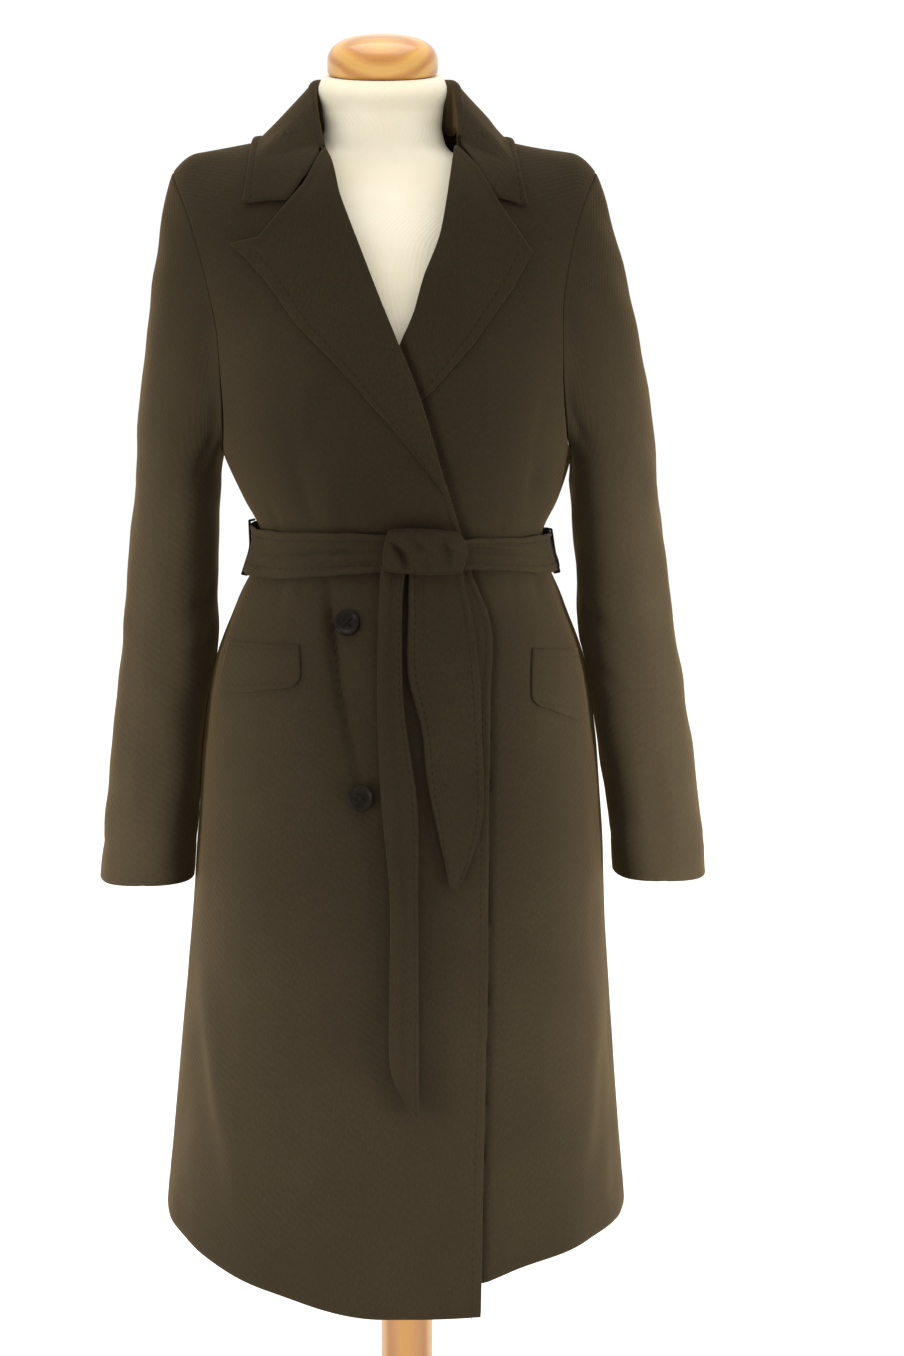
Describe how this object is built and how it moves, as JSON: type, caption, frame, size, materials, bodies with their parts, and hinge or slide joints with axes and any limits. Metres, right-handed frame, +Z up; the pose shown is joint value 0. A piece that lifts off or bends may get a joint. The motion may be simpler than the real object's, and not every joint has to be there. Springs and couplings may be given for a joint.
{
  "type": "wrap coat on a dress form stand",
  "caption": "Knee-length wrap overcoat with notched lapels, flap pockets and a knotted tie belt, shown on a limbless dress form with a turned wooden cap, pole and round base.",
  "frame": {"origin": "centre of the underside of the stand's round base, on the floor", "axes": "+Z up along the pole; the coat faces -Y; +X is the wearer's left, on the right in a front view"},
  "size_m": [0.5471, 0.39, 1.4744],
  "materials": {
    "dark_wool": "felted double-faced wool, brown-black, with a soft nap",
    "ivory_jersey": "stretched fine ivory jersey cover",
    "varnished_wood": "honey-coloured wood, clear gloss varnish",
    "button_plastic": "polished dark brown-black"
  },
  "bodies": {
    "root": {"front_right": "dark_wool", "front_left": "dark_wool", "back": "dark_wool", "sleeve_right_top": "dark_wool", "sleeve_right_under": "dark_wool", "sleeve_left_top": "dark_wool", "sleeve_left_under": "dark_wool", "collar": "dark_wool", "lapel_right": "dark_wool", "lapel_left": "dark_wool", "pocket_flap_right": "dark_wool", "pocket_flap_left": "dark_wool", "belt_band": "dark_wool", "belt_knot": "dark_wool", "belt_tail_long": "dark_wool", "belt_tail_short": "dark_wool", "belt_loop_right": "dark_wool", "belt_loop_left": "dark_wool", "button_upper": "button_plastic", "button_lower": "button_plastic", "form_torso": "ivory_jersey", "neck_cap": "varnished_wood", "pole": "varnished_wood", "base": "varnished_wood"}
  },
  "joints": []
}
